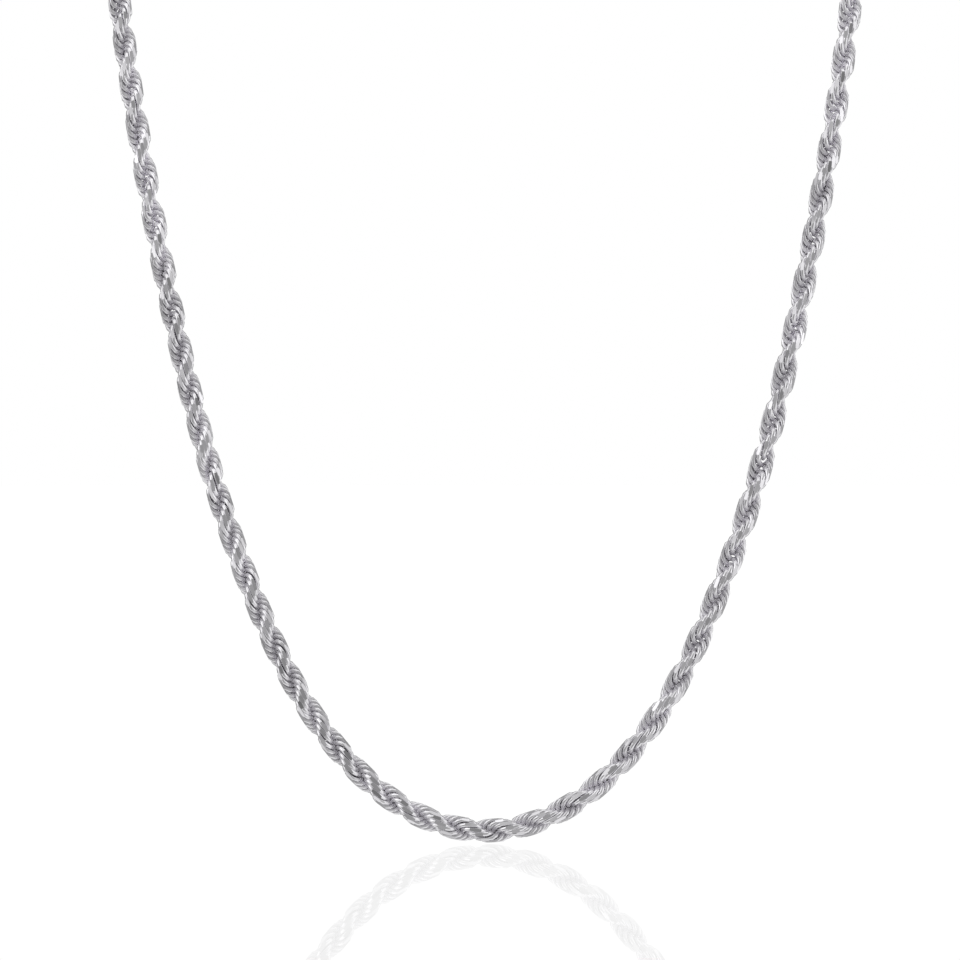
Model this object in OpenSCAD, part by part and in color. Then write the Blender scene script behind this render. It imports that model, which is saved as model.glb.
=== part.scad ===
// Rope chain necklace: a closed loop in the form that it takes round a neck.
// Millimetres, +Z up, -Y to the wearer's front, +X to the right as seen from the front.
// The origin is the middle of the clasp, at the back of the neck.

/* [Chain] */
// Width of the chain across two facing lobes
chain_w = 3.5; // [2.8:0.1:4.5]
// Width of each of the two strands, which is also the waist between two lobes
strand_w = 2.1; // [1.5:0.1:2.4]
// Depth of the groove between the two strands
groove_depth = 0.2; // [0.05:0.05:0.4]
// Usual length of one lobe, which is half a turn of the twist
lobe_len = 7; // [5.5:0.1:8.5]
// Turn of the twist at the lowest point, in degrees
low_turn = -24; // [-90:1:90]

/* [End caps] */
// Wall of the cup that is soldered round each end of the chain
cap_wall = 0.4; // [0.3:0.05:0.6]
// Length of chain that each cup holds
cap_depth = 3.5; // [2:0.25:5]
// Wire of the eyes on the caps and on the clasp
eye_wire = 0.8; // [0.6:0.05:1]
// Inner width of those eyes
eye_bore = 1.8; // [1.6:0.1:2.4]

/* [Jump rings] */
// Wire of the two jump rings
ring_wire = 0.9; // [0.7:0.05:1.1]
// Inner width of the two jump rings
ring_bore = 3; // [2.6:0.1:4]

/* [Clasp] */
// Overall length of the clasp with its eye
clasp_len = 12; // [10:0.5:16]
// Width of the clasp's claw loop
clasp_w = 5.6; // [5:0.1:7]
// Wire of the claw loop
claw_wire = 1.5; // [1.2:0.1:1.8]
// Width of the thick back of the claw
claw_back = 2.2; // [2:0.1:2.8]
// Length of the thick back of the claw
claw_back_len = 5.4; // [4:0.2:7]

/* [Clearances] */
// Play between linked rings and round the chain in its cups
play = 0.15; // [0.1:0.05:0.25]

/* [Hidden] */

silver = [0.78, 0.78, 0.8];
// Facets of a round fitting in a quick view
smooth = 64;

// Route of the right arm, from the lowest point in front to the middle of the clasp at the back.
// These are the control points of a smooth curve, which starts and ends square to the middle plane.
arm_route = [
    [0, -85, -150.4], [7, -85, -149.2], [13.4, -85, -146], [18.6, -84.8, -141.8], [24, -84.4, -135.6],
    [28.8, -83.8, -128], [33, -83, -119], [37.4, -81.6, -108], [41.6, -79.8, -95], [45.6, -77.4, -79.4],
    [49, -74.4, -64], [52, -71, -49], [54.2, -68, -36.6], [56, -64.6, -25.6], [57.2, -59.4, -15.6],
    [57.4, -49.6, -7], [55, -37, -2], [49, -24, 0], [38, -12.4, 0], [23.4, -4, 0], [0, 2, 0]
];
// Middle of the neck opening, which the chain's section is turned from
neck_mid = [0, -50, -60];
// Steps on each span of the route
route_steps = 12;
// Distance over which a direction on the route is measured
tangent_reach = 0.5;

// The route with a mirrored point before and after it, so that both halves meet smoothly
function mirrored(p) = [-p.x, p.y, p.z];
last = len(arm_route) - 1;
guide = concat([mirrored(arm_route[1])], arm_route, [mirrored(arm_route[last - 1])]);

// Point of a uniform cubic B-spline between its control points b and c
function spline_point(a, b, c, d, t) =
    (pow(1 - t, 3) * a + (3 * pow(t, 3) - 6 * pow(t, 2) + 4) * b
    + (1 + 3 * t + 3 * pow(t, 2) - 3 * pow(t, 3)) * c + pow(t, 3) * d) / 6;

arm_points = concat(
    [for (i = [0 : last - 1], k = [0 : route_steps - 1])
        spline_point(guide[i], guide[i + 1], guide[i + 2], guide[i + 3], k / route_steps)],
    [spline_point(guide[last - 1], guide[last], guide[last + 1], guide[last + 2], 1)]
);

// Distance along the arm to each of its points
arm_reach = [for (i = 0, s = 0; i < len(arm_points);
    i = i + 1, s = i < len(arm_points) ? s + norm(arm_points[i] - arm_points[i - 1]) : s) s];
arm_len = arm_reach[len(arm_reach) - 1];
along_x = [for (i = [0 : len(arm_points) - 1]) [arm_reach[i], arm_points[i].x]];
along_y = [for (i = [0 : len(arm_points) - 1]) [arm_reach[i], arm_points[i].y]];
along_z = [for (i = [0 : len(arm_points) - 1]) [arm_reach[i], arm_points[i].z]];

// Place on the whole loop: s is 0 at the lowest point, positive on the right arm and negative on the left
function arm_place(s) = [lookup(s, along_x), lookup(s, along_y), lookup(s, along_z)];
function place(s) = s < 0 ? mirrored(arm_place(-s)) : arm_place(s);
function unit(v) = v / norm(v);
function heading(s) = unit(place(s + tangent_reach) - place(s - tangent_reach));
function square_to(v, axis) = unit(v - (v * axis) * axis);

// Length of the lobes along each arm, which is twisted tighter in the bend, as shares of lobe_len
// Columns: share of the arm from the lowest point, lobe on the left arm, lobe on the right arm
twist_table = [
    [0, 0.77, 0.77],
    [0.15, 0.84, 0.95],
    [0.3, 0.81, 1.04],
    [0.45, 1.07, 1.01],
    [0.6, 0.93, 1.13],
    [1, 1, 1]
];
left_lobe = 1;
right_lobe = 2;
half_turn = 180;
function lobe_at(s, arm) = lobe_len * lookup(s / arm_len, [for (row = twist_table) [row[0], row[arm]]]);

// Number of lobes from the lowest point to each point of an arm
function lobe_count(arm) = [for (i = 0, n = 0; i < len(arm_reach);
    i = i + 1, n = i < len(arm_reach) ? n + lobes_between(arm_reach[i - 1], arm_reach[i], arm) : n)
    [arm_reach[i], n]];
function lobes_between(from, to, arm) = (to - from) / lobe_at((from + to) / 2, arm);
left_count = lobe_count(left_lobe);
right_count = lobe_count(right_lobe);
function lobes_to(s) = s < 0 ? -lookup(-s, left_count) : lookup(s, right_count);
function turn_at(s) = low_turn + half_turn * lobes_to(s);

// Section of the twisted chain: two round strands side by side, with a groove between them
strand_r = strand_w / 2;
// Angle round a strand, from the outermost point, at which its shoulder lies
shoulder_turn = 68;
shoulder_x = chain_w / 2 - strand_r + strand_r * cos(shoulder_turn);
shoulder_y = strand_r * sin(shoulder_turn);
groove_y = strand_r - groove_depth;
section = [
    [chain_w / 2, 0], [shoulder_x, shoulder_y], [0, groove_y], [-shoulder_x, shoulder_y],
    [-chain_w / 2, 0], [-shoulder_x, -shoulder_y], [0, -groove_y], [shoulder_x, -shoulder_y]
];
// Rings of the section in a lobe of the usual length
rings_per_lobe = 6;

// One ring of the section at s, turned by the twist
function turned(p, a) = [p.x * cos(a) - p.y * sin(a), p.x * sin(a) + p.y * cos(a)];
function ring_at(s) =
    let (
        axis = heading(s),
        inward = square_to(neck_mid - place(s), axis),
        side = cross(axis, inward),
        turn = turn_at(s)
    )
    [for (p = section) let (q = turned(p, turn)) place(s) + q.x * inward + q.y * side];

// A stretch of the chain from s = from to s = to
module rope(from, to) {
    sides = len(section);
    rings = ceil((to - from) / lobe_len * rings_per_lobe);
    points = [for (i = [0 : rings]) each ring_at(from + (to - from) * i / rings)];
    skin = [for (i = [0 : rings - 1], k = [0 : sides - 1])
        let (a = i * sides + k, b = i * sides + (k + 1) % sides, c = b + sides, d = a + sides)
        each [[a, d, b], [b, d, c]]];
    start_face = [for (k = [0 : sides - 1]) k];
    end_face = [for (k = [sides - 1 : -1 : 0]) rings * sides + k];
    polyhedron(points, concat([start_face], skin, [end_face]));
}

// The fittings, laid out along the route from the middle of the clasp outwards
cup_bore_r = chain_w / 2 + play;
cup_r = cup_bore_r + cap_wall;
cup_end = cup_r - sqrt(pow(cup_r, 2) - pow(cup_bore_r, 2)) + cap_wall;
cup_len = cup_end + cap_depth;
ring_mid_d = ring_bore + ring_wire;
eye_mid_d = eye_bore + eye_wire;
eye_sunk = eye_wire / 2;
// Distance from the wire of one ring to the wire that it pulls on
function pull(wire) = (wire + ring_wire) / 2 + play;
// Distance from the clasp's middle to a jump ring's, with the wire that the ring hangs on at tip
function ring_from(tip, wire) = tip - pull(wire) + ring_mid_d / 2;
// Distance from the clasp's middle to the closed end of the cup beyond that ring
function cup_from(tip, wire) =
    ring_from(tip, wire) + ring_mid_d / 2 - pull(eye_wire) + eye_mid_d + eye_wire / 2 - eye_sunk;

claw_tip = (clasp_len - claw_wire) / 2;
eye_tip = (clasp_len - eye_wire) / 2;
left_ring_at = ring_from(claw_tip, claw_wire);
right_ring_at = ring_from(eye_tip, eye_wire);
left_cup_at = cup_from(claw_tip, claw_wire);
right_cup_at = cup_from(eye_tip, eye_wire);
left_chain_end = arm_len - left_cup_at - cup_end - play;
right_chain_end = arm_len - right_cup_at - cup_end - play;

// Puts children on the route at the distance back from the clasp's middle, with +X leading away from it
module beside_clasp(back, hand) {
    s = hand * (arm_len - back);
    spot = place(s);
    ahead = -hand * heading(s);
    up = square_to([0, 0, 1], ahead);
    across = cross(up, ahead);
    multmatrix([
        [ahead.x, across.x, up.x, spot.x],
        [ahead.y, across.y, up.y, spot.y],
        [ahead.z, across.z, up.z, spot.z],
        [0, 0, 0, 1]
    ]) children();
}

// A round ring of wire in the XY plane
module wire_ring(bore, wire) {
    rotate_extrude($fn = smooth) translate([(bore + wire) / 2, 0]) circle(d = wire, $fn = smooth);
}

// A cup with a domed end at the origin, opening along +X, and an eye standing in the XZ plane on its dome
module end_cap() {
    rotate([0, 90, 0]) rotate_extrude($fn = smooth) difference() {
        intersection() {
            union() {
                translate([0, cup_r]) circle(r = cup_r, $fn = smooth);
                translate([0, cup_r]) square([cup_r, cup_len]);
            }
            square([cup_r, cup_len]);
        }
        translate([0, cup_end]) square([cup_bore_r, cup_len]);
    }
    translate([-eye_mid_d / 2 - eye_wire / 2 + eye_sunk, 0, 0]) rotate([90, 0, 0]) wire_ring(eye_bore, eye_wire);
}

// Half of the claw loop's round end, in the XZ plane, bulging along -X
module claw_end(mid_r) {
    rotate([90, 0, 0]) rotate([0, 0, 90])
        rotate_extrude(angle = 180, $fn = smooth) translate([mid_r, 0]) circle(d = claw_wire, $fn = smooth);
}

// The clasp: a closed claw loop to the left with a thick back, and an eye to the right, in the XZ plane
module claw_clasp() {
    mid_r = (clasp_w - claw_wire) / 2;
    eye_w = eye_bore + 2 * eye_wire;
    hook_x = clasp_w / 2 - clasp_len / 2;
    root_x = clasp_len / 2 - eye_w + eye_sunk - clasp_w / 2;
    translate([hook_x, 0, 0]) claw_end(mid_r);
    translate([root_x, 0, 0]) rotate([0, 180, 0]) claw_end(mid_r);
    for (z = [-mid_r, mid_r])
        translate([hook_x, 0, z]) rotate([0, 90, 0]) cylinder(h = root_x - hook_x, d = claw_wire, $fn = smooth);
    back_mid = (hook_x + root_x) / 2;
    straight = claw_back_len - claw_back;
    translate([back_mid - straight / 2, 0, mid_r]) {
        rotate([0, 90, 0]) cylinder(h = straight, d = claw_back, $fn = smooth);
        for (x = [0, straight]) translate([x, 0, 0]) sphere(d = claw_back, $fn = smooth);
    }
    translate([clasp_len / 2 - eye_w / 2, 0, 0]) rotate([90, 0, 0]) wire_ring(eye_bore, eye_wire);
}

module chain_left() {
    color(silver) rope(-left_chain_end, 0);
}

module chain_right() {
    color(silver) rope(0, right_chain_end);
}

module end_cap_left() {
    color(silver) beside_clasp(left_cup_at + cup_len / 2, -1) translate([-cup_len / 2, 0, 0]) end_cap();
}

module end_cap_right() {
    color(silver) beside_clasp(right_cup_at + cup_len / 2, 1) translate([-cup_len / 2, 0, 0]) end_cap();
}

module jump_ring_left() {
    color(silver) beside_clasp(left_ring_at, -1) wire_ring(ring_bore, ring_wire);
}

module jump_ring_right() {
    color(silver) beside_clasp(right_ring_at, 1) wire_ring(ring_bore, ring_wire);
}

module clasp() {
    color(silver) claw_clasp();
}

chain_left();
chain_right();
end_cap_left();
end_cap_right();
jump_ring_left();
jump_ring_right();
clasp();
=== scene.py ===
"""Looks of the rope chain necklace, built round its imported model.

Metres, +Z up, -Y to the wearer's front and +X to the right as seen from the front.
The origin is the middle of the clasp, at the back of the neck.
The silver links are nested along the route that the solids follow.
"""

import sys
import bisect
import logging
import math
from dataclasses import dataclass
from enum import Enum
from typing import Any, Sequence

import bpy
import bmesh
from bpy.types import NodeSocket
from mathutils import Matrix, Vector


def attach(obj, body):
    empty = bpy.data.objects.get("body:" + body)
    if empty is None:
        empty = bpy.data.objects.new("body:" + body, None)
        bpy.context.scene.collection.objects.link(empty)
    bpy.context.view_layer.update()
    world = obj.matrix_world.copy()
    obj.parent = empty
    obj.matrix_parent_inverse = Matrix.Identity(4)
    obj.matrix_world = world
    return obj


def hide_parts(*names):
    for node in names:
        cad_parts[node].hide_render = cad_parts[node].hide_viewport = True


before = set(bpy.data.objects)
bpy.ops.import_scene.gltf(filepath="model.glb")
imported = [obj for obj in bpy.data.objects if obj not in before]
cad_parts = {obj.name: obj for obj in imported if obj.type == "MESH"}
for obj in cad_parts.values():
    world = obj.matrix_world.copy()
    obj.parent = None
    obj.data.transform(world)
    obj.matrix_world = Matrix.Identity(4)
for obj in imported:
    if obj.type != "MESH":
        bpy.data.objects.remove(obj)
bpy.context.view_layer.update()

logging.basicConfig(level=logging.INFO, format="%(message)s", stream=sys.stdout)
log = logging.getLogger("necklace")

MM = 0.001
BODY = "root"
WHITE = (1.0, 1.0, 1.0, 1.0)


class Slot(Enum):
    """Names of the material slots for the rope and the fittings, which the script doesn't use."""

    ROPE = "rope_silver"
    FITTING = "fitting_silver"


class Hand(Enum):
    """The two arms of the loop, as seen from the front."""

    LEFT = -1
    RIGHT = 1

    @property
    def word(self) -> str:
        """Gives the arm's name as the pieces use it."""
        return self.name.lower()


# Route and twist of the chain, as in the solids

# Control points of the right arm in millimetres, from the lowest point in front to the middle of the clasp
ARM_ROUTE = (
    (0, -85, -150.4), (7, -85, -149.2), (13.4, -85, -146), (18.6, -84.8, -141.8), (24, -84.4, -135.6),
    (28.8, -83.8, -128), (33, -83, -119), (37.4, -81.6, -108), (41.6, -79.8, -95), (45.6, -77.4, -79.4),
    (49, -74.4, -64), (52, -71, -49), (54.2, -68, -36.6), (56, -64.6, -25.6), (57.2, -59.4, -15.6),
    (57.4, -49.6, -7), (55, -37, -2), (49, -24, 0), (38, -12.4, 0), (23.4, -4, 0), (0, 2, 0),
)

# Share of the arm from the lowest point, then the length of a lobe on the left and on the right arm,
# as shares of the usual length
TWIST_TABLE = (
    (0.0, 0.77, 0.77),
    (0.15, 0.84, 0.95),
    (0.3, 0.81, 1.04),
    (0.45, 1.07, 1.01),
    (0.6, 0.93, 1.13),
    (1.0, 1.0, 1.0),
)


@dataclass(frozen=True)
class ChainSizes:
    """Sizes of the chain and its fittings that the solids are built from, in metres and radians."""

    width: float = 3.5 * MM
    lobe: float = 7 * MM
    low_turn: float = math.radians(-24)
    play: float = 0.15 * MM
    cap_wall: float = 0.4 * MM
    eye_wire: float = 0.8 * MM
    eye_bore: float = 1.8 * MM
    ring_wire: float = 0.9 * MM
    ring_bore: float = 3 * MM
    clasp_len: float = 12 * MM
    claw_wire: float = 1.5 * MM

    @property
    def cup_bore_r(self) -> float:
        """Gives the radius of an end cap's bore."""
        return self.width / 2 + self.play

    @property
    def cup_r(self) -> float:
        """Gives the outer radius of an end cap."""
        return self.cup_bore_r + self.cap_wall

    @property
    def cup_end(self) -> float:
        """Gives the depth of an end cap's closed end."""
        return self.cup_r - math.sqrt(self.cup_r ** 2 - self.cup_bore_r ** 2) + self.cap_wall

    @property
    def ring_mid_d(self) -> float:
        """Gives the diameter of a jump ring to the middle of its wire."""
        return self.ring_bore + self.ring_wire

    @property
    def eye_mid_d(self) -> float:
        """Gives the diameter of an eye to the middle of its wire."""
        return self.eye_bore + self.eye_wire

    def pull(self, wire: float) -> float:
        """Gives the distance between the middles of two wires that pull on each other.

        Args:
            wire: Thickness of the wire that a jump ring hangs on.

        Returns:
            The distance in metres.
        """
        return (wire + self.ring_wire) / 2 + self.play

    def tip(self, hand: Hand) -> float:
        """Gives the distance from the clasp's middle to the middle of the wire at its end.

        Args:
            hand: The end of the clasp, which is its claw on the left and its eye on the right.

        Returns:
            The distance in metres.
        """
        wire = self.end_wire(hand)
        return (self.clasp_len - wire) / 2

    def end_wire(self, hand: Hand) -> float:
        """Gives the wire of the clasp's claw on the left, and of its eye on the right."""
        return self.claw_wire if hand is Hand.LEFT else self.eye_wire

    def ring_at(self, hand: Hand) -> float:
        """Gives the distance along the route from the clasp's middle to a jump ring's middle."""
        return self.tip(hand) - self.pull(self.end_wire(hand)) + self.ring_mid_d / 2

    def cup_at(self, hand: Hand) -> float:
        """Gives the distance along the route from the clasp's middle to an end cap's closed end."""
        return self.ring_at(hand) + self.ring_mid_d / 2 - self.pull(self.eye_wire) + self.eye_mid_d


SIZES = ChainSizes()


class NeckRoute:
    """The loop's centre line, with the turn of the rope along it.

    A distance s is 0 at the lowest point, positive on the right arm and negative on the left.
    """

    STEPS = 12
    TANGENT_REACH = 0.5 * MM
    NECK_MID = Vector((0, -50, -60)) * MM

    def __init__(self) -> None:
        """Works out the arm's points, the distance to each, and the lobes up to each on both arms."""
        control = [Vector(p) * MM for p in ARM_ROUTE]
        guide = [self.mirrored(control[1]), *control, self.mirrored(control[-2])]
        self.points = [
            self.spline_point(guide[i:i + 4], k / self.STEPS)
            for i in range(len(control) - 1)
            for k in range(self.STEPS)
        ]
        self.points.append(self.spline_point(guide[-4:], 1.0))
        self.reach = [0.0]
        for before, after in zip(self.points, self.points[1:]):
            self.reach.append(self.reach[-1] + (after - before).length)
        self.length = self.reach[-1]
        self.lobes = {hand: self.count_lobes(hand) for hand in Hand}

    @staticmethod
    def mirrored(point: Vector) -> Vector:
        """Gives a point on the other arm."""
        return Vector((-point.x, point.y, point.z))

    @staticmethod
    def spline_point(near: Sequence[Vector], t: float) -> Vector:
        """Gives a point of a uniform cubic B-spline.

        Args:
            near: The four control points round the span.
            t: Place on the span between the second and the third, from 0 to 1.

        Returns:
            The point.
        """
        a, b, c, d = near
        return (
            (1 - t) ** 3 * a + (3 * t ** 3 - 6 * t ** 2 + 4) * b
            + (1 + 3 * t + 3 * t ** 2 - 3 * t ** 3) * c + t ** 3 * d
        ) / 6

    def lobe_at(self, reach: float, hand: Hand) -> float:
        """Gives the length of a lobe at a distance along an arm.

        Args:
            reach: The distance from the lowest point.
            hand: The arm.

        Returns:
            The length in metres.
        """
        shares, left, right = zip(*TWIST_TABLE)
        lengths = left if hand is Hand.LEFT else right
        return SIZES.lobe * self.lookup(reach / self.length, shares, lengths)

    @staticmethod
    def lookup(x: float, xs: Sequence[float], ys: Sequence[float]) -> float:
        """Gives y at x on a broken line.

        Args:
            x: Where to look.
            xs: The line's rising places.
            ys: The line's values there.

        Returns:
            The value, held at the ends.
        """
        k = min(max(bisect.bisect_right(xs, x) - 1, 0), len(xs) - 2)
        t = min(max((x - xs[k]) / (xs[k + 1] - xs[k]), 0.0), 1.0)
        return ys[k] + (ys[k + 1] - ys[k]) * t

    def count_lobes(self, hand: Hand) -> list[float]:
        """Counts the lobes from the lowest point to each point of an arm.

        Args:
            hand: The arm.

        Returns:
            The lobes up to each point.
        """
        counts = [0.0]
        for before, after in zip(self.reach, self.reach[1:]):
            counts.append(counts[-1] + (after - before) / self.lobe_at((before + after) / 2, hand))
        return counts

    def place(self, s: float) -> Vector:
        """Gives the point at a distance.

        Args:
            s: The distance.

        Returns:
            The point.
        """
        k = min(max(bisect.bisect_right(self.reach, abs(s)) - 1, 0), len(self.reach) - 2)
        t = (abs(s) - self.reach[k]) / (self.reach[k + 1] - self.reach[k])
        spot = self.points[k].lerp(self.points[k + 1], min(t, 1.0))
        return self.mirrored(spot) if s < 0 else spot

    def heading(self, s: float) -> Vector:
        """Gives the direction in which s grows."""
        return (self.place(s + self.TANGENT_REACH) - self.place(s - self.TANGENT_REACH)).normalized()

    def inward(self, s: float) -> Vector:
        """Gives the direction square to the route that leads to the middle of the neck opening.

        Args:
            s: The distance at which it starts.

        Returns:
            The direction, of length 1.
        """
        axis = self.heading(s)
        toward = self.NECK_MID - self.place(s)
        return (toward - toward.dot(axis) * axis).normalized()

    def distance_of(self, lobes: float) -> float:
        """Gives the distance s at which the rope has made a number of lobes from the lowest point.

        Args:
            lobes: Lobes from the lowest point, negative on the left arm.

        Returns:
            The distance s in metres.
        """
        hand = Hand.LEFT if lobes < 0 else Hand.RIGHT
        return hand.value * self.lookup(abs(lobes), self.lobes[hand], self.reach)

    def lobes_to(self, s: float) -> float:
        """Gives the lobes that the rope has made from the lowest point to the distance s."""
        hand = Hand.LEFT if s < 0 else Hand.RIGHT
        return hand.value * self.lookup(abs(s), self.reach, self.lobes[hand])

    def chain_end(self, hand: Hand) -> float:
        """Gives the distance s of the end of the chain in an arm's cup."""
        back = SIZES.cup_at(hand) + SIZES.cup_end + SIZES.play
        return hand.value * (self.length - back)


ROUTE = NeckRoute()


# Node trees


def add_node(
    tree: bpy.types.NodeTree, kind: str, inputs: dict[Any, Any] | None = None, **settings: Any
) -> bpy.types.Node:
    """Adds a node to a tree.

    Args:
        tree: The tree.
        kind: The node's type.
        inputs: Values or other nodes' sockets, by the name or number of the input that they go to.
        settings: The node's own settings.

    Returns:
        The node.
    """
    made = tree.nodes.new(kind)
    for name, value in settings.items():
        setattr(made, name, value)
    for name, value in (inputs or {}).items():
        if isinstance(value, NodeSocket):
            tree.links.new(value, made.inputs[name])
        else:
            made.inputs[name].default_value = value
    return made


def blank_material(name: str) -> bpy.types.Material:
    """Starts a node material with no nodes.

    Args:
        name: The material's name.

    Returns:
        The material.
    """
    made = bpy.data.materials.new(name)
    made.use_nodes = True
    made.node_tree.nodes.clear()
    return made


# Finishes


@dataclass(frozen=True)
class SilverFinish:
    """Polished silver, with a little dulling where a polishing wheel can't reach, painted light in the rope's
    recesses and painted shade on some cut faces.
    """

    name: str
    color: tuple[float, float, float] = (0.945, 0.934, 0.962)
    # Painted light: a brighter, bluer colour deep in the rope, standing in for light that many reflections
    # bring into the recesses
    painted_recess_light_color: tuple[float, float, float] = (0.965, 0.95, 0.985)
    roughness: float = 0.13
    cut_roughness: float = 0.08
    dull_roughness: float = 0.9
    # Share of light that the least polished stretches lose, how many such stretches lie in a metre,
    # and the noise from which a stretch is the least polished up to that at which it loses nothing
    stretch_loss: float = 0.12
    stretches: float = 110.0
    stretch_range: tuple[float, float] = (0.35, 0.65)
    stretch_detail: float = 1.0
    # Share of light that the darkest link loses, and the painted shade on its cut face, which stands in for
    # real cut faces that lean their own way
    link_loss: float = 0.04
    cut_painted_shade: float = 0.35
    # Fine unevenness of the wire: its waves in a metre, their depth, and the share of it that shows
    grain: float = 2600.0
    grain_detail: float = 3.0
    grain_depth: float = 0.05 * MM
    unevenness: float = 0.02

    def material(self) -> bpy.types.Material:
        """Builds the node material.

        Returns:
            The material, which reads Object coordinates and the links' own attributes.
        """
        made = blank_material(self.name)
        tree = made.node_tree
        place = add_node(tree, "ShaderNodeTexCoord").outputs["Object"]
        core = self.attribute(tree, "core")
        cut = self.attribute(tree, "cut")
        silver = add_node(tree, "ShaderNodeBsdfPrincipled", {
            "Base Color": self.shade(tree, place, core, cut),
            "Metallic": 1.0,
            "Roughness": self.dullness(tree, core, cut),
            "Normal": self.relief(tree, place),
        })
        add_node(tree, "ShaderNodeOutputMaterial", {"Surface": silver.outputs["BSDF"]})
        return made

    def shade(
        self, tree: bpy.types.NodeTree, place: NodeSocket, core: NodeSocket, cut: NodeSocket
    ) -> NodeSocket:
        """Adds the nodes of the silver's colour, less what its least polished parts lose, with painted light
        in the recesses and painted shade on some cut faces.

        Args:
            tree: The material's tree.
            place: Object coordinates.
            core: How deep in the rope the point lies.
            cut: Whether it lies on a cut face.

        Returns:
            The colour.
        """
        # Painted light: the colour brightens toward the rope's core, standing in for light from many
        # reflections in the recesses
        tint_with_painted_light = add_node(tree, "ShaderNodeMix", {
            "Factor": core,
            "A": (*self.color, 1.0),
            "B": (*self.painted_recess_light_color, 1.0),
        }, data_type="RGBA")
        least, most = self.stretch_range
        spread = add_node(tree, "ShaderNodeMapRange", {
            "Value": self.noise(tree, place, self.stretches, self.stretch_detail),
            "From Min": least,
            "From Max": most,
            "To Min": 1.0 - self.stretch_loss,
        })
        # Random tone of each link, and on its cut faces painted shade that stands in for faces leaning their
        # own way
        tone_and_painted_shade = add_node(tree, "ShaderNodeMapRange", {
            "Value": cut,
            "To Min": -self.link_loss,
            "To Max": -self.cut_painted_shade,
        })
        kept = add_node(tree, "ShaderNodeMath", {
            0: self.attribute(tree, "tone"),
            1: tone_and_painted_shade.outputs["Result"],
            2: spread.outputs["Result"],
        }, operation="MULTIPLY_ADD")
        return add_node(tree, "ShaderNodeVectorMath", {
            "Vector": tint_with_painted_light.outputs["Result"],
            "Scale": kept.outputs["Value"],
        }, operation="SCALE").outputs["Vector"]

    def dullness(self, tree: bpy.types.NodeTree, core: NodeSocket, cut: NodeSocket) -> NodeSocket:
        """Adds the nodes of the roughness, which is high deep in the rope and least on the cut faces.

        Args:
            tree: The material's tree.
            core: How deep in the rope the point lies.
            cut: Whether it lies on a cut face.

        Returns:
            The roughness.
        """
        worn = add_node(tree, "ShaderNodeMix", {
            "Factor": core,
            "A": self.roughness,
            "B": self.dull_roughness,
        }, data_type="FLOAT")
        return add_node(tree, "ShaderNodeMix", {
            "Factor": cut,
            "A": worn.outputs["Result"],
            "B": self.cut_roughness,
        }, data_type="FLOAT").outputs["Result"]

    def relief(self, tree: bpy.types.NodeTree, place: NodeSocket) -> NodeSocket:
        """Adds the nodes of the wire's fine unevenness.

        Args:
            tree: The material's tree.
            place: Object coordinates.

        Returns:
            The normal.
        """
        return add_node(tree, "ShaderNodeBump", {
            "Strength": self.unevenness,
            "Distance": self.grain_depth,
            "Height": self.noise(tree, place, self.grain, self.grain_detail),
        }).outputs["Normal"]

    @staticmethod
    def noise(tree: bpy.types.NodeTree, place: NodeSocket, waves: float, detail: float) -> NodeSocket:
        """Adds a noise texture.

        Args:
            tree: The material's tree.
            place: Object coordinates.
            waves: The noise's waves in a metre.
            detail: How many finer noises are laid over it.

        Returns:
            The noise, from 0 to 1.
        """
        return add_node(tree, "ShaderNodeTexNoise", {
            "Vector": place,
            "Scale": waves,
            "Detail": detail,
        }).outputs["Fac"]

    @staticmethod
    def attribute(tree: bpy.types.NodeTree, name: str) -> NodeSocket:
        """Gives the value of one of the mesh's attributes, which is 0 where a mesh has none."""
        return add_node(tree, "ShaderNodeAttribute", attribute_name=name).outputs["Fac"]


@dataclass(frozen=True)
class TableFinish:
    """White table top that glows softly and mirrors faintly."""

    name: str = "white_table"
    glow: float = 1.02
    gloss: float = 0.18
    roughness: float = 0.0

    def material(self) -> bpy.types.Material:
        """Builds the node material.

        Returns:
            The material, which is the same all over.
        """
        made = blank_material(self.name)
        tree = made.node_tree
        glow = add_node(tree, "ShaderNodeEmission", {"Color": WHITE, "Strength": self.glow})
        shine = add_node(tree, "ShaderNodeBsdfGlossy", {"Color": WHITE, "Roughness": self.roughness})
        mix = add_node(tree, "ShaderNodeMixShader", {
            "Fac": self.gloss,
            1: glow.outputs["Emission"],
            2: shine.outputs["BSDF"],
        })
        add_node(tree, "ShaderNodeOutputMaterial", {"Surface": mix.outputs["Shader"]})
        return made


# Geometry Nodes


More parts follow.
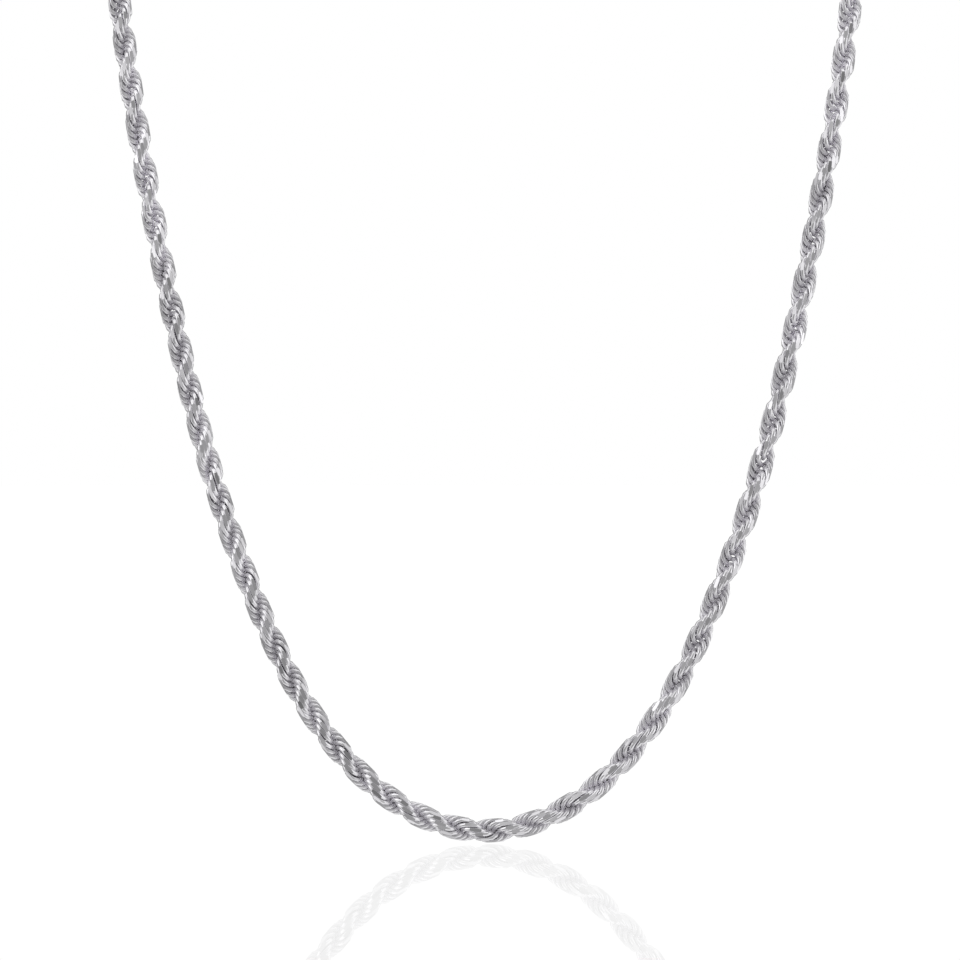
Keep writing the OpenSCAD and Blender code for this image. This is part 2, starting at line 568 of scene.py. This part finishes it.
class TreeMaker:
    """A Geometry Nodes tree in the making, with named inputs."""

    def __init__(self, name: str) -> None:
        """Starts a tree with a geometry input and output.

        Args:
            name: The tree's name.
        """
        self.tree = bpy.data.node_groups.new(name, "GeometryNodeTree")
        face = self.tree.interface
        face.new_socket("Geometry", in_out="OUTPUT", socket_type="NodeSocketGeometry")
        face.new_socket("Geometry", in_out="INPUT", socket_type="NodeSocketGeometry")
        self.entry = self.tree.nodes.new("NodeGroupInput")
        self.exit = self.tree.nodes.new("NodeGroupOutput")

    def input(self, name: str, kind: str) -> NodeSocket:
        """Adds a named input.

        Args:
            name: The input's name.
            kind: The type of its socket, such as Float.

        Returns:
            The socket that the tree's nodes read.
        """
        self.tree.interface.new_socket(name, in_out="INPUT", socket_type="NodeSocket" + kind)
        return self.entry.outputs[name]

    def node(self, kind: str, inputs: dict[Any, Any] | None = None, **settings: Any) -> bpy.types.Node:
        """Adds a node, with its inputs and settings as add_node takes them."""
        return add_node(self.tree, kind, inputs, **settings)

    def math(self, how: str, a: Any, b: Any = 0.0) -> NodeSocket:
        """Adds a Math node of two values and gives its result."""
        return self.node("ShaderNodeMath", {0: a, 1: b}, operation=how).outputs[0]

    def vector(self, how: str, a: Any, b: Any = (0.0, 0.0, 0.0)) -> NodeSocket:
        """Adds a Vector Math node of two vectors and gives its result."""
        return self.node("ShaderNodeVectorMath", {0: a, 1: b}, operation=how).outputs["Vector"]

    def scaled(self, a: Any, by: Any) -> NodeSocket:
        """Adds a Vector Math node that scales a vector and gives its result."""
        return self.node("ShaderNodeVectorMath", {0: a, "Scale": by}, operation="SCALE").outputs["Vector"]

    def read(self, name: str, kind: str = "FLOAT") -> NodeSocket:
        """Adds a node that reads one of the mesh's attributes and gives its value."""
        node = self.node("GeometryNodeInputNamedAttribute", {"Name": name}, data_type=kind)
        return node.outputs["Attribute"]

    def store(
        self, geometry: NodeSocket, name: str, value: NodeSocket, domain: str, kind: str = "FLOAT"
    ) -> NodeSocket:
        """Adds a node that stores an attribute.

        Args:
            geometry: The geometry that gets it.
            name: The attribute's name.
            value: Its value.
            domain: What has a value each, such as FACE.
            kind: The value's type.

        Returns:
            The geometry with the attribute.
        """
        return self.node("GeometryNodeStoreNamedAttribute", {
            "Geometry": geometry,
            "Name": name,
            "Value": value,
        }, data_type=kind, domain=domain).outputs["Geometry"]

    def average(self, value: NodeSocket, domain: str) -> NodeSocket:
        """Adds a node that averages a number over each element of a domain and gives the average."""
        return self.node("GeometryNodeFieldOnDomain", {0: value}, data_type="FLOAT", domain=domain).outputs[0]

    def finish(self, geometry: NodeSocket) -> bpy.types.NodeTree:
        """Joins the last geometry to the output and gives the tree."""
        self.tree.links.new(geometry, self.exit.inputs["Geometry"])
        return self.tree


def bake_tree(
    name: str, base: bpy.types.Mesh, tree: bpy.types.NodeTree, values: dict[str, Any]
) -> bpy.types.Object:
    """Runs a tree on a mesh and keeps its result as a plain mesh object at the origin.

    Args:
        name: The piece's name.
        base: The mesh that the tree starts from.
        tree: The tree.
        values: The modifier's inputs, by name.

    Returns:
        The piece, with no modifier.
    """
    holder = bpy.data.objects.new(name, base)
    bpy.context.scene.collection.objects.link(holder)
    modifier = holder.modifiers.new(tree.name, "NODES")
    modifier.node_group = tree
    sockets = {s.name: s.identifier for s in tree.interface.items_tree if s.in_out == "INPUT"}
    for label, value in values.items():
        modifier[sockets[label]] = value
    graph = bpy.context.evaluated_depsgraph_get()
    baked = bpy.data.meshes.new_from_object(holder.evaluated_get(graph), depsgraph=graph)
    baked.name = name
    holder.modifiers.clear()
    holder.data = baked
    bpy.data.meshes.remove(base)
    return holder


# The rope


@dataclass
class RopeArm:
    """One arm of the rope: open rings of wire, each turned on from the last, with their outsides cut away."""

    hand: Hand
    finish: bpy.types.Material
    wire: float = 0.62 * MM
    ring_r: float = 1.66 * MM
    ovalness: float = 1.13
    opening: float = 0.85 * MM
    links_per_lobe: int = 8
    ring_steps: int = 16
    wire_sides: int = 6
    # Largest angle in radians by which a step of the ring is moved toward the ring's sides
    side_detail: float = 0.18
    # Turn of the wire's hexagon that sets a flat outward, and how far its sides spread with depth
    flat_turn: float = math.pi / 6
    side_slope: float = math.tan(math.pi / 6)
    # Share of the cut's radius inside which the silver starts to dull and to take painted light, and how fast
    # it dulls and brightens from there
    dull_and_painted_light_from: float = 0.88
    dull_and_painted_light_rate: float = 2.0
    # What an average of marks may miss of 0 or 1 to count as none or all
    slight: float = 0.1
    spare_stations: int = 4
    seed: int = 4
    wobble: float = math.radians(3)
    # How far the links slide to and fro along the rope, and over how many links, both counted in links
    slack: tuple[tuple[float, float], ...] = ((0.35, 19.0), (0.25, 31.0))

    def stations(self) -> list[int]:
        """Numbers the links that fit on the arm.

        Returns:
            The numbers, counted from the lowest point of the loop and negative on the left.
        """
        inside = abs(ROUTE.chain_end(self.hand)) - self.ring_r * self.ovalness - self.wire / 2
        room = abs(ROUTE.lobes_to(self.hand.value * inside)) * self.links_per_lobe
        last = int(room - sum(slide for slide, _ in self.slack))
        return list(range(last + 1)) if self.hand is Hand.RIGHT else list(range(-last, 0))

    def lobes_at(self, number: int) -> float:
        """Gives the lobes that the rope has made from the lowest point to a link."""
        slid = sum(slide * math.sin(2 * math.pi * number / cycle) for slide, cycle in self.slack)
        return (number + slid) / self.links_per_lobe

    def path(self) -> bpy.types.Mesh:
        """Builds a line along the route with one point for each link and a few to spare at both ends.

        Returns:
            The mesh, with the attributes heading, inward, turn and strung at its points.
        """
        held = self.stations()
        spare = self.spare_stations
        numbers = range(held[0] - spare, held[-1] + spare + 1)
        lobes = [self.lobes_at(n) for n in numbers]
        places = [ROUTE.distance_of(count) for count in lobes]
        mesh = bpy.data.meshes.new("rope_path_" + self.hand.word)
        mesh.from_pydata([ROUTE.place(s) for s in places], [(k, k + 1) for k in range(len(places) - 1)], [])
        for name, direction in (("heading", ROUTE.heading), ("inward", ROUTE.inward)):
            kept = mesh.attributes.new(name, "FLOAT_VECTOR", "POINT")
            kept.data.foreach_set("vector", [x for s in places for x in direction(s)])
        turn = mesh.attributes.new("turn", "FLOAT", "POINT")
        turn.data.foreach_set("value", [SIZES.low_turn + math.pi * count for count in lobes])
        strung = mesh.attributes.new("strung", "BOOLEAN", "POINT")
        strung.data.foreach_set("value", [held[0] <= n <= held[-1] for n in numbers])
        return mesh

    @classmethod
    def link_tree(cls) -> bpy.types.NodeTree:
        """Builds the tree that bends a wire into an open ring, strings it and cuts the rope's outside.

        Returns:
            The tree.
        """
        maker = TreeMaker("Rope links")
        wire = maker.input("Wire", "Float")
        ring_r = maker.input("Ring Radius", "Float")
        opening = maker.input("Opening", "Float")
        cut_r = maker.input("Cut Radius", "Float")
        wobble = maker.input("Wobble", "Float")
        seed = maker.input("Seed", "Int")
        material = maker.input("Material", "Material")
        strung = cls.strung_links(maker, cls.open_ring(maker, wire, ring_r, opening), wobble, seed)
        cut = cls.cut_outside(maker, strung, cut_r)
        dressed = maker.node("GeometryNodeSetMaterial", {"Geometry": cut, "Material": material})
        return maker.finish(dressed.outputs["Geometry"])

    @classmethod
    def open_ring(
        cls, maker: TreeMaker, wire: NodeSocket, ring_r: NodeSocket, opening: NodeSocket
    ) -> NodeSocket:
        """Bends a round wire into an open ring that stands in the XZ plane, open at its top.

        Args:
            maker: The tree in the making.
            wire: Thickness of the wire.
            ring_r: Radius of the ring to the middle of its wire.
            opening: Width of the gap between the wire's ends.

        Returns:
            The ring's mesh.
        """
        # The crowding of the steps widens the gap, so it starts narrower by as much
        widening = 1 + 2 * cls.side_detail
        gap = maker.math("DIVIDE", opening, maker.math("MULTIPLY", ring_r, widening))
        arc = maker.node("GeometryNodeCurveArc", {
            "Resolution": cls.ring_steps + 1,
            "Radius": ring_r,
            "Start Angle": maker.math("ADD", maker.math("MULTIPLY", gap, 0.5), math.pi / 2),
            "Sweep Angle": maker.math("SUBTRACT", 2 * math.pi, gap),
        })
        # Crowds the steps toward the ring's two sides, where the cut needs them
        spot = maker.node("GeometryNodeInputPosition").outputs["Position"]
        parts = maker.node("ShaderNodeSeparateXYZ", {0: spot})
        across = maker.math("DIVIDE", parts.outputs["X"], ring_r)
        along = maker.math("DIVIDE", parts.outputs["Y"], ring_r)
        crowded = maker.node("ShaderNodeVectorRotate", {
            "Vector": spot,
            "Angle": maker.math("MULTIPLY", maker.math("MULTIPLY", across, along), -2 * cls.side_detail),
        }, rotation_type="Z_AXIS")
        path = maker.node("GeometryNodeSetPosition", {
            "Geometry": arc.outputs["Curve"],
            "Position": crowded.outputs["Vector"],
        })
        # A hexagon of the same area as the round wire, with one flat outward
        spread = math.sqrt(2 * math.pi / (cls.wire_sides * math.sin(2 * math.pi / cls.wire_sides)))
        section = maker.node("GeometryNodeCurvePrimitiveCircle", {
            "Resolution": cls.wire_sides,
            "Radius": maker.math("MULTIPLY", wire, spread / 2),
        })
        turned = maker.node("GeometryNodeTransform", {
            "Geometry": section.outputs["Curve"],
            "Rotation": (0, 0, cls.flat_turn),
        })
        bent = maker.node("GeometryNodeCurveToMesh", {
            "Curve": path.outputs["Geometry"],
            "Profile Curve": turned.outputs["Geometry"],
            "Fill Caps": True,
        })
        split = maker.node("GeometryNodeTriangulate", {
            "Mesh": bent.outputs["Mesh"],
        }, quad_method="LONGEST_DIAGONAL")
        return maker.node("GeometryNodeTransform", {
            "Geometry": split.outputs["Mesh"],
            "Rotation": (math.pi / 2, 0, 0),
            "Scale": (1, cls.ovalness, 1),
        }).outputs["Geometry"]

    @staticmethod
    def strung_links(
        maker: TreeMaker, ring: NodeSocket, wobble: NodeSocket, seed: NodeSocket
    ) -> NodeSocket:
        """Sets a ring at every strung point, each turned on about the route, and realizes them.

        Args:
            maker: The tree in the making.
            ring: The ring's mesh.
            wobble: Largest angle by which a ring is out of true.
            seed: Seed of that angle and of the links' tone.

        Returns:
            The links' mesh, with a tone for each link.
        """
        heading = maker.read("heading", "FLOAT_VECTOR")
        across = maker.node("ShaderNodeVectorRotate", {
            "Vector": maker.read("inward", "FLOAT_VECTOR"),
            "Axis": heading,
            "Angle": maker.read("turn"),
        }, rotation_type="AXIS_ANGLE")
        facing = maker.node("FunctionNodeAxesToRotation", {
            "Primary Axis": heading,
            "Secondary Axis": across.outputs["Vector"],
        }, primary_axis="Z", secondary_axis="X")
        back = maker.math("MULTIPLY", wobble, -1.0)
        least = maker.node("ShaderNodeCombineXYZ", {axis: back for axis in "XYZ"})
        most = maker.node("ShaderNodeCombineXYZ", {axis: wobble for axis in "XYZ"})
        shake = maker.node("FunctionNodeRandomValue", {
            "Min": least.outputs["Vector"],
            "Max": most.outputs["Vector"],
            "Seed": seed,
        }, data_type="FLOAT_VECTOR")
        lean = maker.node("FunctionNodeEulerToRotation", {"Euler": shake.outputs["Value"]})
        turned = maker.node("FunctionNodeRotateRotation", {
            "Rotation": facing.outputs["Rotation"],
            "Rotate By": lean.outputs["Rotation"],
        }, rotation_space="LOCAL")
        strung = maker.node("GeometryNodeInstanceOnPoints", {
            "Points": maker.entry.outputs["Geometry"],
            "Selection": maker.read("strung", "BOOLEAN"),
            "Instance": ring,
            "Rotation": turned.outputs["Rotation"],
        })
        tone = maker.node("FunctionNodeRandomValue", {"Seed": seed}, data_type="FLOAT")
        toned = maker.store(strung.outputs["Instances"], "tone", tone.outputs["Value"], "INSTANCE")
        return maker.node("GeometryNodeRealizeInstances", {"Geometry": toned}).outputs["Geometry"]

    @classmethod
    def cut_outside(cls, maker: TreeMaker, links: NodeSocket, cut_r: NodeSocket) -> NodeSocket:
        """Cuts all that stands out past a radius round the route, and marks the cut faces and their rims.

        Args:
            maker: The tree in the making.
            links: The links' mesh.
            cut_r: Radius of the cut.

        Returns:
            The cut mesh. Its attribute core rises from 0 near the outside to 1 near the route, and its
            attribute cut is 1 on the cut faces.
        """
        here = maker.node("GeometryNodeInputPosition").outputs["Position"]
        near = maker.node("GeometryNodeProximity", {
            0: maker.entry.outputs["Geometry"],
            "Sample Position": here,
        }, target_element="EDGES")
        share = maker.math("DIVIDE", near.outputs["Distance"], cut_r)
        # core sets both the dulling and the painted light of the recesses
        depth = maker.math("MAXIMUM", maker.math("SUBTRACT", cls.dull_and_painted_light_from, share), 0.0)
        core = maker.math("MINIMUM", maker.math("MULTIPLY", depth, cls.dull_and_painted_light_rate), 1.0)
        marked = maker.store(links, "core", core, "POINT")
        marked = maker.store(marked, "beyond", maker.math("GREATER_THAN", share, 1.0), "POINT")
        # What stands out slides down the wire's sloping sides, as far as a cut through the wire would reach
        away = maker.vector("NORMALIZE", maker.vector("SUBTRACT", here, near.outputs["Position"]))
        excess = maker.math("MAXIMUM", maker.math("SUBTRACT", near.outputs["Distance"], cut_r), 0.0)
        facing = maker.node("GeometryNodeInputNormal").outputs["Normal"]
        outward = maker.node("ShaderNodeVectorMath", {
            0: facing,
            1: away,
        }, operation="DOT_PRODUCT").outputs["Value"]
        sideways = maker.vector("NORMALIZE", maker.vector("SUBTRACT", facing, maker.scaled(away, outward)))
        widened = maker.scaled(sideways, maker.math("MULTIPLY", excess, cls.side_slope))
        offset = maker.vector("SUBTRACT", widened, maker.scaled(away, excess))
        moved = maker.node("GeometryNodeSetPosition", {"Geometry": marked, "Offset": offset})
        # A face is cut where all its corners stood out, and a rim lies between a cut face and another
        all_beyond = maker.math("GREATER_THAN", maker.average(maker.read("beyond"), "FACE"), 1 - cls.slight)
        cut = maker.store(moved.outputs["Geometry"], "cut", all_beyond, "FACE")
        smooth = maker.node("GeometryNodeSetShadeSmooth", {"Geometry": cut, "Shade Smooth": True})
        along = maker.average(maker.read("cut"), "EDGE")
        some = maker.math("GREATER_THAN", along, cls.slight)
        not_all = maker.math("LESS_THAN", along, 1 - cls.slight)
        rim = maker.math("MULTIPLY", some, not_all)
        return maker.store(smooth.outputs["Geometry"], "sharp_edge", rim, "EDGE", "BOOLEAN")

    def build(self, tree: bpy.types.NodeTree) -> bpy.types.Object:
        """Strings the arm's links and sets them in place of the solid.

        Args:
            tree: The tree that link_tree gives.

        Returns:
            The piece.
        """
        piece = bake_tree("rope_links_" + self.hand.word, self.path(), tree, {
            "Wire": self.wire,
            "Ring Radius": self.ring_r,
            "Opening": self.opening,
            "Cut Radius": SIZES.width / 2,
            "Wobble": self.wobble,
            "Seed": self.seed,
            "Material": self.finish,
        })
        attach(piece, BODY)
        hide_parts("chain_" + self.hand.word)
        log.info("%s: %d links, %d faces", piece.name, len(self.stations()), len(piece.data.polygons))
        return piece


# The fittings


@dataclass
class Fittings:
    """The end caps, jump rings and clasp, whose solids are shown in polished silver."""

    finish: bpy.types.Material
    nodes: tuple[str, ...] = ("end_cap_left", "end_cap_right", "jump_ring_left", "jump_ring_right", "clasp")

    def dress(self) -> None:
        """Gives each fitting its finish."""
        for name in self.nodes:
            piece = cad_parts[name]
            piece.data.materials.clear()
            piece.data.materials.append(self.finish)
            log.info("%s: dressed", name)


# The studio


@dataclass(frozen=True)
class Softbox:
    """An area light that is turned to the necklace."""

    name: str
    place: tuple[float, float, float]
    aim: tuple[float, float, float]
    width: float
    height: float
    power: float

    def build(self) -> bpy.types.Object:
        """Builds the light, unseen by the camera itself.

        Returns:
            The light.
        """
        data = bpy.data.lights.new(self.name, "AREA")
        data.shape = "RECTANGLE"
        data.size, data.size_y = self.width, self.height
        data.energy = self.power
        lamp = bpy.data.objects.new(self.name, data)
        lamp.location = self.place
        lamp.rotation_euler = (Vector(self.aim) - Vector(self.place)).to_track_quat("-Z", "Y").to_euler()
        lamp.visible_camera = False
        bpy.context.scene.collection.objects.link(lamp)
        return lamp


@dataclass(frozen=True)
class Card:
    """A white or a black card in the room, which only the silver sees.

    It is given by the direction that it lies in, the angle from its middle to its edge in degrees, the share
    of the room's light that it adds, or takes away when it is black, and the share of its reach over which
    its edge fades.
    """

    toward: tuple[float, float, float]
    reach: float
    share: float
    blur: float = 0.25

    def added(self, tree: bpy.types.NodeTree, way: NodeSocket, light: NodeSocket) -> NodeSocket:
        """Adds the card to the room's light.

        Args:
            tree: The world's tree.
            way: The direction that is looked in.
            light: The light without the card.

        Returns:
            The light with the card.
        """
        aside = add_node(tree, "ShaderNodeVectorMath", {
            0: way,
            1: Vector(self.toward).normalized(),
        }, operation="DOT_PRODUCT")
        edge = add_node(tree, "ShaderNodeMapRange", {
            "Value": aside.outputs["Value"],
            "From Min": math.cos(math.radians(self.reach * (1 + self.blur))),
            "From Max": math.cos(math.radians(self.reach * (1 - self.blur))),
            "To Max": self.share,
        }, interpolation_type="SMOOTHSTEP")
        total = add_node(tree, "ShaderNodeMath", {0: light, 1: edge.outputs["Result"]}, operation="ADD")
        return total.outputs[0]


@dataclass
class Studio:
    """A bright white studio: a glossy pale floor, soft light and the photograph's viewpoint."""

    floor_level: float = -151.85 * MM
    floor_r: float = 30.0
    floor_sides: int = 64
    # Brightness of the room from the camera's side, at 0, to the far side, at 1
    room: tuple[tuple[float, float], ...] = (
        (0.0, 0.38), (0.08, 0.44), (0.18, 0.6), (0.3, 0.85), (0.5, 0.91), (0.66, 0.81), (0.8, 0.55),
        (0.88, 0.4), (1.0, 0.4),
    )
    # How much more light comes from the right and from below
    lean: tuple[float, float, float] = (0.05, 0.0, -0.05)
    cards: tuple[Card, ...] = (
        Card((-0.75, -0.35, 0.55), 26, 0.35),
        Card((0.9, 0.4, 0.1), 20, 0.5),
        Card((-0.6, -0.6, -0.5), 24, -0.5),
        Card((0.5, -0.5, 0.7), 26, -0.45),
        Card((-0.9, 0.35, -0.1), 20, -0.4),
        Card((0.1, 0.5, 0.85), 20, 0.4),
    )
    softboxes: tuple[Softbox, ...] = (
        Softbox("key_left", (-0.9, -0.7, 0.5), (0, -0.08, -0.08), 0.8, 1.0, 0.6),
        Softbox("fill_right", (1.0, -0.5, 0.2), (0, -0.08, -0.08), 0.6, 0.9, 0.35),
        Softbox("top", (0, 0.1, 1.1), (0, -0.05, -0.08), 1.2, 0.9, 0.7),
    )
    # Column of the photograph that the necklace's middle lies in, and the size of a pixel at its front
    mid_pixel: float = 485.5
    pixel: float = 0.148 * MM
    # Where that front lies, and how far in front of it the camera stands
    front: float = -85 * MM
    distance: float = 0.6
    eye_level: float = -98.1 * MM
    frame_px: int = 960
    sensor: float = 36.0
    clip_start: float = 10 * MM

    def floor(self) -> bpy.types.Object:
        """Builds the floor.

        Returns:
            The floor, which glossy rays don't see.
        """
        mesh = bpy.data.meshes.new("floor")
        form = bmesh.new()
        bmesh.ops.create_circle(form, cap_ends=True, radius=self.floor_r, segments=self.floor_sides)
        bmesh.ops.translate(form, verts=form.verts, vec=(0, 0, self.floor_level))
        form.to_mesh(mesh)
        form.free()
        mesh.materials.append(TableFinish().material())
        made = bpy.data.objects.new("floor", mesh)
        made.visible_glossy = False
        bpy.context.scene.collection.objects.link(made)
        return made

    def world(self) -> None:
        """Sets the light of the room, which the camera and the floor's mirror see as plain white."""
        world = bpy.data.worlds.new("white_room")
        bpy.context.scene.world = world
        world.use_nodes = True
        tree = world.node_tree
        tree.nodes.clear()
        way = add_node(tree, "ShaderNodeTexCoord").outputs["Generated"]
        room = add_node(tree, "ShaderNodeBackground", {
            "Color": self.grey_toward(tree, way),
            "Strength": self.light_from(tree, way),
        })
        plain = add_node(tree, "ShaderNodeBackground", {"Color": WHITE})
        ray = add_node(tree, "ShaderNodeLightPath")
        direct = add_node(tree, "ShaderNodeMath", {
            0: ray.outputs["Is Camera Ray"],
            1: ray.outputs["Is Singular Ray"],
        }, operation="MAXIMUM")
        mix = add_node(tree, "ShaderNodeMixShader", {
            "Fac": direct.outputs[0],
            1: room.outputs["Background"],
            2: plain.outputs["Background"],
        })
        add_node(tree, "ShaderNodeOutputWorld", {"Surface": mix.outputs["Shader"]})

    def grey_toward(self, tree: bpy.types.NodeTree, way: NodeSocket) -> NodeSocket:
        """Adds the nodes of the room's brightness between the camera's side and the far side.

        Args:
            tree: The world's tree.
            way: The direction that is looked in.

        Returns:
            The brightness, as a grey.
        """
        depth = add_node(tree, "ShaderNodeSeparateXYZ", {"Vector": way})
        share = add_node(tree, "ShaderNodeMapRange", {"Value": depth.outputs["Y"], "From Min": -1.0})
        bands = add_node(tree, "ShaderNodeValToRGB", {"Fac": share.outputs["Result"]})
        stops = bands.color_ramp.elements
        while len(stops) < len(self.room):
            stops.new(1.0)
        for stop, (spot, grey) in zip(stops, self.room):
            stop.position = spot
            stop.color = (grey, grey, grey, 1.0)
        return bands.outputs["Color"]

    def light_from(self, tree: bpy.types.NodeTree, way: NodeSocket) -> NodeSocket:
        """Adds the nodes of the light's strength, with its lean and the cards.

        Args:
            tree: The world's tree.
            way: The direction that is looked in.

        Returns:
            The strength, as a share of the room's brightness.
        """
        side = add_node(tree, "ShaderNodeVectorMath", {0: way, 1: self.lean}, operation="DOT_PRODUCT")
        light = add_node(tree, "ShaderNodeMath", {
            0: side.outputs["Value"],
            1: 1.0,
        }, operation="ADD").outputs[0]
        for card in self.cards:
            light = card.added(tree, way, light)
        return light

    def camera(self) -> bpy.types.Object:
        """Builds the camera at the photograph's viewpoint.

        Returns:
            The camera, which looks straight along +Y.
        """
        data = bpy.data.cameras.new("camera")
        data.sensor_width = self.sensor
        data.lens = self.sensor * self.distance / (self.pixel * self.frame_px)
        data.clip_start = self.clip_start
        eye = bpy.data.objects.new("camera", data)
        aside = (self.frame_px / 2 - self.mid_pixel) * self.pixel
        eye.location = (aside, self.front - self.distance, self.eye_level)
        eye.rotation_euler = (math.pi / 2, 0, 0)
        bpy.context.scene.collection.objects.link(eye)
        bpy.context.scene.camera = eye
        return eye

    def build(self) -> None:
        """Builds the camera, the room, the floor and the lights."""
        self.camera()
        self.world()
        self.floor()
        for box in self.softboxes:
            box.build()
        view = bpy.context.scene.view_settings
        view.view_transform = "Standard"
        view.look = "None"
        log.info("studio: %d softboxes", len(self.softboxes))


def main() -> None:
    """Builds the studio and dresses every piece of the necklace."""
    Studio().build()
    rope = SilverFinish("rope_silver_wire").material()
    fitting = SilverFinish("fitting_silver_polished", roughness=0.12).material()
    links = RopeArm.link_tree()
    for hand in Hand:
        RopeArm(hand, rope).build(links)
    Fittings(fitting).dress()


if __name__ == "__main__":
    main()
